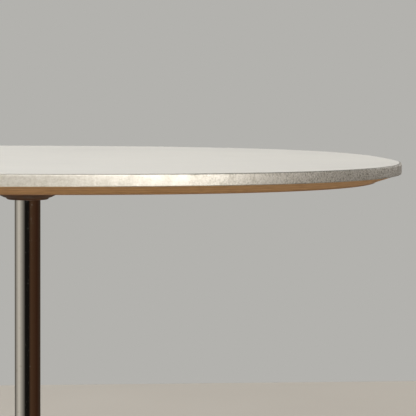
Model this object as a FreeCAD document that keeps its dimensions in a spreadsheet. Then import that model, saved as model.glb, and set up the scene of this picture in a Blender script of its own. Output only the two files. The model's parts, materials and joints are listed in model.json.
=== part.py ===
"""Bistro table: a laminated supercircular top on one column with a four-arm foot.

Millimetres, +Z up. The origin is on the floor, under the axis of the column.
"""
import FreeCAD, Part
import Sketcher
import math
import os

V = FreeCAD.Vector

SIZES = {
    # the top
    "top_half": 450,
    "outline_power": 2.5,
    "table_height": 720,
    "board_total": 22.5,
    "laminate_thick": 0.8,
    "backing_thick": 0.8,
    "joint_gap": 0.3,
    "band_height": 12.8,
    "band_thick": 2.5,
    "band_round": 0.9,
    "barb_thick": 1.8,
    "barb_depth": 8,
    "groove_spare": 0.2,
    "bevel_inset": 30,
    # the flange under the top
    "flange_depth": 30,
    "flange_foot_rad": 25,
    "flange_dish_rad": 75,
    "flange_rim_rad": 92,
    "flange_rim_thick": 3.5,
    "flange_wall": 4,
    "flange_socket": 12,
    "flange_web": 6,
    "flange_screw_ring": 83.5,
    "wood_screw_rad": 2.5,
    "wood_screw_grip": 14,
    # the column and the rod inside it
    "column_rad": 16,
    "column_wall": 2,
    "rod_rad": 5,
    "rod_foot": 6,
    "nut_flats": 17,
    "nut_height": 8,
    "washer_rad": 14,
    "washer_thick": 2,
    # the foot
    "hub_rad": 52,
    "hub_foot": 24,
    "hub_shoulder": 66,
    "hub_collar_rad": 20,
    "hub_top": 102,
    "hub_web": 6,
    "plate_thick": 5,
    "slot_spare": 0.2,
    "arm_root": 19,
    "arm_reach": 330,
    "arm_root_half": 16,
    "arm_mid_half": 13.5,
    "arm_tip_half": 12,
    "arm_root_top": 58,
    "arm_mid_top": 43,
    "arm_tip_top": 31,
    "arm_mid_foot": 20,
    "arm_tip_foot": 16,
    "arm_round": 7,
    "arm_wall": 4.5,
    "arm_screw_rad": 4,
    "arm_screw_near": 28,
    "arm_screw_far": 42,
    "arm_screw_grip": 18,
    # the levelling glides
    "boss_rad": 11,
    "boss_foot": 14,
    "insert_rad": 7,
    "insert_height": 13,
    "stem_rad": 4,
    "stem_spare": 0.05,
    "stem_flats": 13,
    "stem_hex_height": 4,
    "ball_rad": 4,
    "ball_height": 6,
    "ball_spare": 0.1,
    "neck_rad": 2.5,
    "pad_rad": 15,
    "pad_height": 8.5,
}

# levels and radii that follow from the sheet
TOP = "dim.table_height"
UNDERSIDE = "(dim.table_height - dim.board_total)"
BAND_FOOT = "(dim.table_height - dim.band_height)"
CORE_TOP = "(dim.table_height - dim.laminate_thick)"
CORE_FOOT = f"({UNDERSIDE} + dim.backing_thick)"
BARB_FOOT = f"({BAND_FOOT} + (dim.band_height - dim.barb_thick) / 2)"
FLANGE_FOOT = f"({UNDERSIDE} - dim.flange_depth)"
FLANGE_WEB_TOP = f"({FLANGE_FOOT} + dim.flange_socket + dim.flange_web)"
RIM_FOOT = f"({UNDERSIDE} - dim.flange_rim_thick)"
PLATE_FOOT = "(dim.hub_foot - dim.plate_thick)"
HUB_SOCKET = "(dim.arm_root_top + dim.hub_web)"
FOOT_ANGLE = 45.0
OUTLINE_POINTS = 72


def make_sheet(doc):
    """Write every driving size into the sheet, with its name as alias."""
    sheet = doc.addObject("Spreadsheet::Sheet", "dim")
    for row, (alias, size) in enumerate(SIZES.items(), start=1):
        sheet.set(f"A{row}", alias)
        sheet.set(f"B{row}", str(size))
        sheet.setAlias(f"B{row}", alias)
    doc.recompute()
    return sheet


def number(doc, text):
    """The present value of an expression on the sheet."""
    return float(doc.getObject("dim").evalExpression(str(text)))


def new_body(doc, label):
    body = doc.addObject("PartDesign::Body", label)
    body.Label = label
    body.AllowCompound = True
    return body


def origin_feature(body, role):
    """A plane or an axis of the body's own origin."""
    return [f for f in body.Origin.OriginFeatures if f.Role == role][0]


def new_sketch(body, name, role, offset="0"):
    """An empty sketch on an origin plane, moved along the plane's normal by offset."""
    sketch = body.newObject("Sketcher::SketchObject", name)
    sketch.AttachmentSupport = (origin_feature(body, role), [""])
    sketch.MapMode = "FlatFace"
    sketch.setExpression("AttachmentOffset.Base.z", offset)
    return sketch


def pin_coordinate(sketch, kind, axis, edge, point, text, value):
    """Hold one coordinate of a sketch point at an expression."""
    if abs(value) < 1e-9:
        sketch.addConstraint(Sketcher.Constraint("PointOnObject", edge, point, axis))
        return
    if value > 0:
        link = Sketcher.Constraint(kind, -1, 1, edge, point, value)
    else:
        link = Sketcher.Constraint(kind, edge, point, -1, 1, -value)
    index = sketch.addConstraint(link)
    sketch.setExpression(f"Constraints[{index}]", text if value > 0 else f"-({text})")


def arc_edge(start, end, radius):
    """An arc from start to end that bulges to the right of the way from start to end.

    A negative radius makes it bulge to the left.
    """
    chord = end - start
    side = V(chord.y, -chord.x, 0).normalize()
    size = abs(radius)
    sag = size - math.sqrt(max(size ** 2 - (chord.Length / 2) ** 2, 0))
    middle = (start + end) / 2 + side * math.copysign(sag, radius)
    return Part.Arc(start, middle, end)


def outline_sketch(doc, sketch, points, arcs=None):
    """Draw a closed outline whose corners are pairs of expressions.

    arcs gives, for an edge's number, the expression of its signed radius.
    """
    arcs = arcs or {}
    spots = [V(number(doc, a), number(doc, b), 0) for a, b in points]
    count = len(spots)
    for i in range(count):
        start, end = spots[i], spots[(i + 1) % count]
        if i in arcs:
            sketch.addGeometry(arc_edge(start, end, number(doc, arcs[i])))
        else:
            sketch.addGeometry(Part.LineSegment(start, end))
    ends = edge_ends(sketch, spots)
    for i in range(count):
        (first, last), after = ends[i], ends[(i + 1) % count]
        following = (i + 1) % count
        sketch.addConstraint(
            Sketcher.Constraint("Coincident", i, last, following, after[0]))
        pin_coordinate(sketch, "DistanceX", -2, i, first, points[i][0], spots[i].x)
        pin_coordinate(sketch, "DistanceY", -1, i, first, points[i][1], spots[i].y)
    for i, text in arcs.items():
        index = sketch.addConstraint(
            Sketcher.Constraint("Radius", i, abs(number(doc, text))))
        sketch.setExpression(f"Constraints[{index}]", f"abs({text})")


def edge_ends(sketch, spots):
    """For each edge, which of its two ends comes first along the outline."""
    ends = []
    for i, spot in enumerate(spots):
        forward = (sketch.getPoint(i, 1) - spot).Length < 1e-6
        ends.append((1, 2) if forward else (2, 1))
    return ends


def circle_sketch(doc, sketch, circles):
    """Draw circles given as (x, y, radius) expressions."""
    for i, (across, along, radius) in enumerate(circles):
        centre = V(number(doc, across), number(doc, along), 0)
        size = number(doc, radius)
        sketch.addGeometry(Part.Circle(centre, V(0, 0, 1), size))
        pin_coordinate(sketch, "DistanceX", -2, i, 3, across, centre.x)
        pin_coordinate(sketch, "DistanceY", -1, i, 3, along, centre.y)
        index = sketch.addConstraint(Sketcher.Constraint("Radius", i, size))
        sketch.setExpression(f"Constraints[{index}]", radius)


def hexagon(across, flats):
    """The corners of a hexagon centred at (across, 0), two sides parallel to X."""
    corner = f"({flats}) / sqrt(3)"
    half = f"({flats}) / 2"
    signs = ((1, 0), (0.5, 1), (-0.5, 1), (-1, 0), (-0.5, -1), (0.5, -1))
    return [(f"{across} + {a} * {corner}", f"{b} * {half}") for a, b in signs]


def revolve(doc, body, name, points, arcs=None):
    """Turn a profile of (radius, height) expressions round the body's Z axis."""
    sketch = new_sketch(body, f"{name}_profile", "XZ_Plane")
    outline_sketch(doc, sketch, points, arcs)
    turned = body.newObject("PartDesign::Revolution", name)
    turned.Profile = sketch
    turned.ReferenceAxis = (sketch, ["V_Axis"])
    turned.Angle = 360
    sketch.Visibility = False
    return turned


def pad(body, name, sketch, length):
    """Pad a sketch along its plane's normal."""
    raised = body.newObject("PartDesign::Pad", name)
    raised.Profile = sketch
    raised.setExpression("Length", length)
    return raised


def pocket(doc, body, name, sketch, length, reverse=False, midplane=False):
    """Cut a sketch into the body, and make sure that it does cut."""
    doc.recompute()
    before = body.Shape.Volume
    cut = body.newObject("PartDesign::Pocket", name)
    cut.Profile = sketch
    cut.setExpression("Length", length)
    cut.Reversed = reverse
    cut.Midplane = midplane
    doc.recompute()
    if body.Shape.Volume > before - 1e-3:
        raise RuntimeError(f"{body.Label}: {name} cuts nothing")
    return cut


def polar(body, name, features, count):
    """Repeat features round the body's Z axis."""
    ring = body.newObject("PartDesign::PolarPattern", name)
    ring.Originals = features
    ring.Axis = (origin_feature(body, "Z_Axis"), [""])
    ring.Angle = 360
    ring.Occurrences = count
    body.Tip = ring
    return ring


def superellipse(half, power, inset):
    """A closed curve a constant inset inside |x|^power + |y|^power = half^power."""
    points = []
    for i in range(OUTLINE_POINTS):
        angle = 2 * math.pi * i / OUTLINE_POINTS
        c, s = math.cos(angle), math.sin(angle)
        reach = half / (abs(c) ** power + abs(s) ** power) ** (1 / power)
        normal = V(math.copysign(abs(c) ** (power - 1), c),
                   math.copysign(abs(s) ** (power - 1), s), 0).normalize()
        points.append(V(reach * c, reach * s, 0) - normal * inset)
    curve = Part.BSplineCurve()
    curve.interpolate(points, PeriodicFlag=True)
    return Part.Wire([curve.toShape()])


def top_outline(doc, name, inset, height):
    """The top's outline, set in by inset, as a wire at a height."""
    wire = doc.addObject("Part::Feature", name)
    half, power = number(doc, "dim.top_half"), number(doc, "dim.outline_power")
    wire.Shape = superellipse(half, power, number(doc, inset))
    wire.setExpression("Placement.Base.z", height)
    return wire


def slab(doc, name, inset, low, high):
    """A plate with the top's outline, set in by inset, between two heights."""
    wire = top_outline(doc, f"{name}_outline", inset, low)
    plate = doc.addObject("Part::Extrusion", name)
    plate.Base = wire
    plate.DirMode = "Custom"
    plate.Dir = V(0, 0, 1)
    plate.Solid = True
    plate.setExpression("LengthFwd", f"{high} - {low}")
    return plate


def boolean(doc, kind, name, base, tool):
    """Part::Cut, Part::Fuse or Part::Common of two objects."""
    result = doc.addObject(f"Part::{kind}", name)
    result.Base = base
    result.Tool = tool
    return result


def screw_holes(doc, name, high):
    """Pilot holes for the flange's wood screws, up to a height."""
    body = new_body(doc, name)
    sketch = new_sketch(body, f"{name}_circle", "XY_Plane", RIM_FOOT)
    circle_sketch(doc, sketch, [("dim.flange_screw_ring", "0", "dim.wood_screw_rad")])
    first = pad(body, f"{name}_first", sketch, f"{high} - {RIM_FOOT}")
    polar(body, f"{name}_ring", [first], 6)
    return body


def make_top_laminate(doc):
    inset = "dim.band_thick + dim.joint_gap"
    return slab(doc, "top_laminate", inset, CORE_TOP, TOP)


def make_backing_laminate(doc):
    sheet = slab(doc, "backing_blank", "dim.bevel_inset", UNDERSIDE, CORE_FOOT)
    holes = screw_holes(doc, "backing_holes", CORE_FOOT)
    return boolean(doc, "Cut", "backing_laminate", sheet, holes)


def make_core_board(doc):
    """The board: straight edge behind the band, bevel below it, groove for the barb."""
    upper = slab(doc, "core_upper", "dim.band_thick", BAND_FOOT, CORE_TOP)
    lower = doc.addObject("Part::Loft", "core_bevel")
    lower.Sections = [
        top_outline(doc, "bevel_low", "dim.bevel_inset", CORE_FOOT),
        top_outline(doc, "bevel_high", "dim.band_thick", BAND_FOOT),
    ]
    lower.Solid = True
    lower.Ruled = True
    blank = boolean(doc, "Fuse", "core_blank", upper, lower)
    groove_low = f"({BARB_FOOT} - dim.groove_spare)"
    groove_high = f"({BARB_FOOT} + dim.barb_thick + dim.groove_spare)"
    floor = "dim.band_thick + dim.barb_depth + dim.groove_spare"
    outside = slab(doc, "groove_outside", "0", groove_low, groove_high)
    inside = slab(doc, "groove_inside", floor, groove_low, groove_high)
    groove = boolean(doc, "Cut", "groove", outside, inside)
    grooved = boolean(doc, "Cut", "core_grooved", blank, groove)
    holes = screw_holes(doc, "core_holes", f"({RIM_FOOT} + dim.wood_screw_grip)")
    return boolean(doc, "Cut", "core_board", grooved, holes)


def make_edge_band(doc):
    """The extruded band: a rounded strip with a barb, bent round and butted at one joint."""
    bar = slab(doc, "band_bar", "0", BAND_FOOT, TOP)
    doc.recompute()
    rounded = doc.addObject("Part::Fillet", "band_rounded")
    rounded.Base = bar
    size = number(doc, "dim.band_round")
    flat = [i for i, edge in enumerate(bar.Shape.Edges, start=1)
            if edge.BoundBox.ZLength < 0.01]
    rounded.Edges = [(i, size, size) for i in flat]
    hollow = slab(doc, "band_hollow", "dim.band_thick", BAND_FOOT, TOP)
    strip = boolean(doc, "Cut", "band_strip", rounded, hollow)
    barb_top = f"({BARB_FOOT} + dim.barb_thick)"
    barb_out = slab(doc, "barb_outside", "dim.band_thick", BARB_FOOT, barb_top)
    barb_in = slab(doc, "barb_inside", "dim.band_thick + dim.barb_depth", BARB_FOOT, barb_top)
    barb = boolean(doc, "Cut", "barb", barb_out, barb_in)
    ring = boolean(doc, "Fuse", "band_ring", strip, barb)
    joint = doc.addObject("Part::Box", "band_joint")
    joint.setExpression("Length", "2 * dim.bevel_inset")
    joint.setExpression("Width", "dim.joint_gap")
    joint.setExpression("Height", "2 * dim.band_height")
    joint.setExpression("Placement.Base.x", "dim.top_half - dim.bevel_inset")
    joint.setExpression("Placement.Base.y", "-dim.joint_gap / 2")
    joint.setExpression("Placement.Base.z", f"{BAND_FOOT} - dim.band_height / 2")
    return boolean(doc, "Cut", "edge_band", ring, joint)


def make_mounting_flange(doc):
    """A dished casting: rim against the board, socket for the column at its foot."""
    body = new_body(doc, "mounting_flange")
    inner = "(dim.column_rad + dim.flange_wall + 1)"
    flank_foot = f"({FLANGE_FOOT} + dim.flange_wall)"
    socket_top = f"({FLANGE_FOOT} + dim.flange_socket)"
    revolve(doc, body, "dish", [
        ("dim.column_rad", FLANGE_FOOT),
        ("dim.flange_foot_rad", FLANGE_FOOT),
        ("dim.flange_dish_rad", RIM_FOOT),
        ("dim.flange_rim_rad", RIM_FOOT),
        ("dim.flange_rim_rad", UNDERSIDE),
        ("dim.flange_dish_rad - 2", UNDERSIDE),
        ("dim.flange_foot_rad - 1", flank_foot),
        (inner, flank_foot),
        (inner, FLANGE_WEB_TOP),
        ("dim.rod_rad", FLANGE_WEB_TOP),
        ("dim.rod_rad", socket_top),
        ("dim.column_rad", socket_top),
    ])
    sketch = new_sketch(body, "rim_hole_circle", "XY_Plane", UNDERSIDE)
    circle_sketch(doc, sketch,
                  [("dim.flange_screw_ring", "0", "dim.wood_screw_rad + 0.4")])
    hole = pocket(doc, body, "rim_hole", sketch, "2 * dim.flange_rim_thick")
    polar(body, "rim_holes", [hole], 6)
    soften(doc, body, number(doc, FLANGE_FOOT), number(doc, "dim.flange_foot_rad"), 1.5)
    return body


def soften(doc, body, height, radius, size):
    """Round the circular edges of one height and radius."""
    doc.recompute()
    names = []
    for i, edge in enumerate(body.Tip.Shape.Edges, start=1):
        box = edge.BoundBox
        level = box.ZLength < 0.01 and abs(box.ZMin - height) < 0.01
        if level and abs(max(box.XMax, box.YMax) - radius) < 0.05:
            names.append(f"Edge{i}")
    rounded = body.newObject("PartDesign::Fillet", f"{body.Name}_rounding")
    rounded.Base = (rounded.BaseFeature, names)
    rounded.Radius = size
    doc.recompute()
    return rounded


def make_flange_screws(doc):
    """Six pan-head wood screws, head down under the flange's rim."""
    body = new_body(doc, "flange_screws")
    ring = "dim.flange_screw_ring"
    head_height = "(dim.wood_screw_rad + 0.5)"
    shank = new_sketch(body, "wood_shank_circle", "XY_Plane", RIM_FOOT)
    circle_sketch(doc, shank, [(ring, "0", "dim.wood_screw_rad")])
    pin = pad(body, "wood_shank", shank, "dim.wood_screw_grip")
    head = new_sketch(body, "wood_head_circle", "XY_Plane", f"{RIM_FOOT} - {head_height}")
    circle_sketch(doc, head, [(ring, "0", "2 * dim.wood_screw_rad")])
    cap = pad(body, "wood_head", head, head_height)
    drive = new_sketch(body, "wood_drive_shape", "XY_Plane", f"{RIM_FOOT} - {head_height}")
    outline_sketch(doc, drive, cross_recess(ring, "0.5", "dim.wood_screw_rad"))
    recess = pocket(doc, body, "wood_drive", drive, "1.6", reverse=True)
    polar(body, "wood_ring", [pin, cap, recess], 6)
    return body


def cross_recess(across, half_width, reach):
    """The corners of a cross centred at (across, 0)."""
    w, r = half_width, reach
    steps = [(r, w), (w, w), (w, r), (f"-{w}", r), (f"-{w}", w), (f"-{r}", w),
             (f"-{r}", f"-{w}"), (f"-{w}", f"-{w}"), (f"-{w}", f"-{r}"),
             (w, f"-{r}"), (w, f"-{w}"), (r, f"-{w}")]
    return [(f"{across} + ({a})", b) for a, b in steps]


def make_column(doc):
    """The plain tube between the hub's socket and the flange's socket."""
    body = new_body(doc, "column_tube")
    top = f"({FLANGE_FOOT} + dim.flange_socket)"
    bore = "(dim.column_rad - dim.column_wall)"
    revolve(doc, body, "tube", [
        (bore, HUB_SOCKET), ("dim.column_rad", HUB_SOCKET), ("dim.column_rad", top), (bore, top)])
    return body


def make_tie_rod(doc):
    """The threaded rod, drawn at its thread's outside, with chamfered ends."""
    body = new_body(doc, "tie_rod")
    top = f"({FLANGE_WEB_TOP} + dim.washer_thick + dim.nut_height + 0.5)"
    revolve(doc, body, "rod", [
        ("0", "dim.rod_foot"),
        ("dim.rod_rad - 1", "dim.rod_foot"),
        ("dim.rod_rad", "dim.rod_foot + 1"),
        ("dim.rod_rad", f"{top} - 1"),
        ("dim.rod_rad - 1", top),
        ("0", top),
    ])
    return body


def make_washer(doc, label, low):
    body = new_body(doc, label)
    high = f"{low} + dim.washer_thick"
    bore = "dim.rod_rad + 0.3"
    revolve(doc, body, f"{label}_ring", [
        (bore, low), ("dim.washer_rad", low), ("dim.washer_rad", high), (bore, high)])
    return body


def make_nut(doc, label, low):
    """A hexagon nut with both faces chamfered."""
    high = f"({low} + dim.nut_height)"
    corner = "(dim.nut_flats / sqrt(3))"
    prism = doc.addObject("Part::Prism", f"{label}_hexagon")
    prism.Polygon = 6
    prism.setExpression("Circumradius", corner)
    prism.setExpression("Height", "dim.nut_height")
    prism.setExpression("Placement.Base.z", low)
    blank = new_body(doc, f"{label}_blank")
    revolve(doc, blank, f"{label}_turned", [
        ("dim.rod_rad", low),
        ("dim.nut_flats / 2 - 0.3", low),
        (f"{corner} + 0.1", f"{low} + 1"),
        (f"{corner} + 0.1", f"{high} - 1"),
        ("dim.nut_flats / 2 - 0.3", high),
        ("dim.rod_rad", high),
    ])
    return boolean(doc, "Common", label, prism, blank)


def make_hub(doc):
    """A trumpet-shaped casting: column socket above, two crossing slots for the arms below."""
    body = new_body(doc, "base_hub")
    flare = "(dim.hub_rad - dim.hub_collar_rad)"
    flare_top = f"(dim.hub_shoulder + {flare})"
    revolve(doc, body, "trumpet", [
        ("dim.rod_rad + 0.3", "dim.hub_foot"),
        ("dim.hub_rad", "dim.hub_foot"),
        ("dim.hub_rad", "dim.hub_shoulder"),
        ("dim.hub_collar_rad", flare_top),
        ("dim.hub_collar_rad", "dim.hub_top"),
        ("dim.column_rad", "dim.hub_top"),
        ("dim.column_rad", HUB_SOCKET),
        ("dim.rod_rad + 0.3", HUB_SOCKET),
    ], {2: f"-{flare}"})
    half = "(dim.arm_root_half + dim.slot_spare)"
    ceiling = "(dim.arm_root_top + dim.slot_spare)"
    bend = "(dim.arm_round + dim.slot_spare)"
    section = arm_section(half, "dim.hub_foot - 4", ceiling, bend)
    for name, role in (("slot_along_x", "YZ_Plane"), ("slot_along_y", "XZ_Plane")):
        sketch = new_sketch(body, f"{name}_section", role)
        outline_sketch(doc, sketch, *section)
        pocket(doc, body, name, sketch, "2.2 * dim.hub_rad", midplane=True)
    soften(doc, body, number(doc, "dim.hub_top"), number(doc, "dim.hub_collar_rad"), 1.0)
    body.Placement = FreeCAD.Placement(V(), FreeCAD.Rotation(V(0, 0, 1), FOOT_ANGLE))
    return body


def arm_section(half, low, high, bend):
    """Corners and arcs of a square section with its two upper corners rounded."""
    points = [
        (f"-({half})", low),
        (half, low),
        (half, f"{high} - {bend}"),
        (f"{half} - {bend}", high),
        (f"-({half} - {bend})", high),
        (f"-({half})", f"{high} - {bend}"),
    ]
    return points, {2: bend, 4: bend}


def section_sketch(doc, body, name, offset, section):
    """An arm section across the arm, at a distance from the column's axis."""
    sketch = new_sketch(body, name, "YZ_Plane", offset)
    outline_sketch(doc, sketch, *section)
    return sketch


def make_arm(doc, index):
    """One cast arm: square root, tapering blade hollowed from below, boss at the tip."""
    tag = f"arm{index}"
    body = new_body(doc, f"base_arm_{index}")
    root_section = arm_section(
        "dim.arm_root_half", "dim.hub_foot", "dim.arm_root_top", "dim.arm_round")
    root = section_sketch(doc, body, f"{tag}_root", "dim.arm_root", root_section)
    pad(body, f"{tag}_root_pad", root, "dim.hub_rad - dim.arm_root")
    tip_end = "dim.arm_reach + dim.arm_tip_half"
    stations = [
        ("dim.hub_rad", root_section),
        ("(dim.hub_rad + dim.arm_reach) / 2", arm_section(
            "dim.arm_mid_half", "dim.arm_mid_foot", "dim.arm_mid_top", "dim.arm_round")),
        (tip_end, arm_section(
            "dim.arm_tip_half", "dim.arm_tip_foot", "dim.arm_tip_top", "dim.arm_round - 1")),
    ]
    sketches = [section_sketch(doc, body, f"{tag}_section_{k}", place, section)
                for k, (place, section) in enumerate(stations)]
    blade = body.newObject("PartDesign::AdditiveLoft", f"{tag}_blade")
    blade.Profile = sketches[0]
    blade.Sections = sketches[1:]
    blade.Ruled = False
    hollow_arm(doc, body, tag)
    round_tip(doc, body, tag)
    add_boss(doc, body, tag)
    screws = new_sketch(body, f"{tag}_screw_circles", "XY_Plane", "dim.hub_foot")
    circle_sketch(doc, screws, [(place, "0", "dim.arm_screw_rad")
                                for place in ("dim.arm_screw_near", "dim.arm_screw_far")])
    pocket(doc, body, f"{tag}_screw_holes", screws, "dim.arm_screw_grip", reverse=True)
    turn = FreeCAD.Rotation(V(0, 0, 1), FOOT_ANGLE + 90 * (index - 1))
    body.Placement = FreeCAD.Placement(V(), turn)
    return body


def hollow_arm(doc, body, tag):
    """Cut a channel into the blade from below, leaving a wall all round."""
    doc.recompute()
    before = body.Shape.Volume
    wall = "dim.arm_wall"
    places = [
        ("dim.hub_rad + 2 * dim.arm_wall", "dim.arm_root_half - 1", "dim.arm_root_top - 3"),
        ("(dim.hub_rad + dim.arm_reach) / 2", "dim.arm_mid_half", "dim.arm_mid_top"),
        ("dim.arm_reach - dim.boss_rad - 4", "dim.arm_tip_half", "dim.arm_tip_top"),
    ]
    sketches = []
    for k, (place, half, high) in enumerate(places):
        section = arm_section(f"({half} - {wall})", "6", f"({high} - {wall})", "3")
        sketches.append(section_sketch(doc, body, f"{tag}_channel_{k}", place, section))
    channel = body.newObject("PartDesign::SubtractiveLoft", f"{tag}_channel")
    channel.Profile = sketches[0]
    channel.Sections = sketches[1:]
    channel.Ruled = False
    doc.recompute()
    if body.Shape.Volume > before - 1:
        raise RuntimeError(f"{body.Label}: the channel cuts nothing")


def round_tip(doc, body, tag):
    """Trim the arm's end to a half circle round the foot."""
    half = "(dim.arm_tip_half + 0.2)"
    beyond = "(dim.arm_reach + 2 * dim.arm_tip_half)"
    sketch = new_sketch(body, f"{tag}_tip_shape", "XY_Plane", "dim.arm_tip_foot - 6")
    outline_sketch(doc, sketch, [
        ("dim.arm_reach", half),
        ("dim.arm_reach", f"{half} + 4"),
        (beyond, f"{half} + 4"),
        (beyond, f"-({half} + 4)"),
        ("dim.arm_reach", f"-({half} + 4)"),
        ("dim.arm_reach", f"-{half}"),
        (f"dim.arm_reach + {half}", "0"),
    ], {5: half, 6: half})
    pocket(doc, body, f"{tag}_tip", sketch, "40", reverse=True)


def add_boss(doc, body, tag):
    """A flat-bottomed boss under the tip, bored for the threaded sleeve."""
    boss = new_sketch(body, f"{tag}_boss_circle", "XY_Plane", "dim.boss_foot")
    circle_sketch(doc, boss, [("dim.arm_reach", "0", "dim.boss_rad")])
    pad(body, f"{tag}_boss", boss, "10")
    bore = new_sketch(body, f"{tag}_bore_circle", "XY_Plane", "dim.boss_foot")
    circle_sketch(doc, bore, [("dim.arm_reach", "0", "dim.insert_rad")])
    pocket(doc, body, f"{tag}_bore", bore, "dim.insert_height", reverse=True)


def make_base_plate(doc):
    """The round plate that closes the hub and carries the arms' screws."""
    body = new_body(doc, "base_plate")
    bore = "dim.rod_rad + 0.3"
    revolve(doc, body, "disc", [
        (bore, PLATE_FOOT), ("dim.hub_rad", PLATE_FOOT),
        ("dim.hub_rad", "dim.hub_foot"), (bore, "dim.hub_foot")])
    sketch = new_sketch(body, "plate_circles", "XY_Plane", "dim.hub_foot")
    circle_sketch(doc, sketch, [(place, "0", "dim.arm_screw_rad + 0.5")
                                for place in ("dim.arm_screw_near", "dim.arm_screw_far")])
    holes = pocket(doc, body, "plate_holes", sketch, "2 * dim.plate_thick")
    polar(body, "plate_ring", [holes], 4)
    body.Placement = FreeCAD.Placement(V(), FreeCAD.Rotation(V(0, 0, 1), FOOT_ANGLE))
    return body


def make_arm_screws(doc):
    """Eight socket-head screws, two up into each arm's root."""
    body = new_body(doc, "arm_screws")
    places = ("dim.arm_screw_near", "dim.arm_screw_far")
    head_foot = f"{PLATE_FOOT} - 2 * dim.arm_screw_rad"
    shank = new_sketch(body, "shank_circles", "XY_Plane", PLATE_FOOT)
    circle_sketch(doc, shank, [(place, "0", "dim.arm_screw_rad") for place in places])
    pins = pad(body, "shanks", shank, "dim.plate_thick + dim.arm_screw_grip - 2")
    head = new_sketch(body, "head_circles", "XY_Plane", head_foot)
    circle_sketch(doc, head, [(place, "0", "1.625 * dim.arm_screw_rad") for place in places])
    caps = pad(body, "heads", head, "2 * dim.arm_screw_rad")
    drives = []
    for name, place in zip(("near_drive", "far_drive"), places):
        sketch = new_sketch(body, f"{name}_shape", "XY_Plane", head_foot)
        outline_sketch(doc, sketch, hexagon(place, "1.5 * dim.arm_screw_rad"))
        drives.append(pocket(doc, body, name, sketch, "dim.arm_screw_rad", reverse=True))
    polar(body, "screw_ring", [pins, caps] + drives, 4)
    body.Placement = FreeCAD.Placement(V(), FreeCAD.Rotation(V(0, 0, 1), FOOT_ANGLE))
    return body


def make_foot_inserts(doc):
    """Four threaded sleeves, one in each arm's boss."""
    body = new_body(doc, "foot_inserts")
    sketch = new_sketch(body, "insert_circles", "XY_Plane", "dim.boss_foot")
    circle_sketch(doc, sketch, [
        ("dim.arm_reach", "0", "dim.insert_rad"),
        ("dim.arm_reach", "0", "dim.stem_rad + dim.stem_spare")])
    sleeve = pad(body, "insert_sleeve", sketch, "dim.insert_height")
    polar(body, "insert_ring", [sleeve], 4)
    body.Placement = FreeCAD.Placement(V(), FreeCAD.Rotation(V(0, 0, 1), FOOT_ANGLE))
    return body


def foot_placement(doc, index):
    """Where foot number index stands."""
    angle = math.radians(FOOT_ANGLE + 90 * (index - 1))
    reach = number(doc, "dim.arm_reach")
    place = V(reach * math.cos(angle), reach * math.sin(angle), 0)
    return FreeCAD.Placement(place, FreeCAD.Rotation(V(0, 0, 1), math.degrees(angle)))


def make_stem(doc, index):
    """Levelling stem: ball, neck, spanner hexagon and threaded shank, from the floor up."""
    body = new_body(doc, f"glide_stem_{index}")
    neck_foot = "(dim.ball_height + sqrt(dim.ball_rad ^ 2 - dim.neck_rad ^ 2))"
    hex_foot = "(dim.boss_foot - dim.stem_hex_height)"
    tip = "(dim.boss_foot + dim.insert_height - 1)"
    revolve(doc, body, f"stem{index}_turned", [
        ("0", "dim.ball_height - dim.ball_rad"),
        ("dim.ball_rad", "dim.ball_height"),
        ("dim.neck_rad", neck_foot),
        ("dim.neck_rad", f"{hex_foot} + 1"),
        ("dim.stem_rad", f"{hex_foot} + 1"),
        ("dim.stem_rad", f"{tip} - 1"),
        ("dim.stem_rad - 1", tip),
        ("0", tip),
    ], {0: "dim.ball_rad", 1: "dim.ball_rad"})
    sketch = new_sketch(body, f"stem{index}_hexagon", "XY_Plane", hex_foot)
    outline_sketch(doc, sketch, hexagon("0", "dim.stem_flats"))
    pad(body, f"stem{index}_spanner_flats", sketch, "dim.stem_hex_height")
    body.Placement = foot_placement(doc, index)
    return body


def make_pad(doc, index):
    """Swivel pad: a domed disc with a spherical seat for the stem's ball."""
    body = new_body(doc, f"glide_pad_{index}")
    seat = "(dim.ball_rad + dim.ball_spare)"
    mouth = f"sqrt({seat} ^ 2 - (dim.pad_height - dim.ball_height) ^ 2)"
    revolve(doc, body, f"pad{index}_turned", [
        ("0", "0"),
        ("dim.pad_rad - 1", "0"),
        ("dim.pad_rad", "1"),
        ("dim.pad_rad", "3"),
        ("dim.pad_rad - 7", "dim.pad_height"),
        (mouth, "dim.pad_height"),
        (seat, "dim.ball_height"),
        ("0", f"dim.ball_height - {seat}"),
    ], {3: "12", 5: f"-{seat}", 6: f"-{seat}"})
    body.Placement = foot_placement(doc, index)
    return body


def build(doc):
    """Make every sub-part. Each one's Label is its node's name."""
    make_sheet(doc)
    parts = [
        make_top_laminate(doc),
        make_backing_laminate(doc),
        make_core_board(doc),
        make_edge_band(doc),
        make_mounting_flange(doc),
        make_flange_screws(doc),
        make_column(doc),
        make_tie_rod(doc),
        make_washer(doc, "top_washer", FLANGE_WEB_TOP),
        make_nut(doc, "top_nut", f"({FLANGE_WEB_TOP} + dim.washer_thick)"),
        make_hub(doc),
        make_base_plate(doc),
        make_arm_screws(doc),
        make_washer(doc, "bottom_washer", f"({PLATE_FOOT} - dim.washer_thick)"),
        make_nut(doc, "bottom_nut", f"({PLATE_FOOT} - dim.washer_thick - dim.nut_height)"),
        make_foot_inserts(doc),
    ]
    for index in range(1, 5):
        parts.append(make_arm(doc, index))
        parts.append(make_stem(doc, index))
        parts.append(make_pad(doc, index))
    doc.recompute()
    return parts


def check(doc, parts):
    """Stop on any failed object or bad shape."""
    for item in doc.Objects:
        if "Invalid" in item.State or "Error" in item.State:
            raise RuntimeError(f"{item.Label} failed: {item.State}")
    for part in parts:
        if part.Shape.isNull() or not part.Shape.isValid() or not part.Shape.Solids:
            raise RuntimeError(f"{part.Label} has a bad shape")


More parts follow.
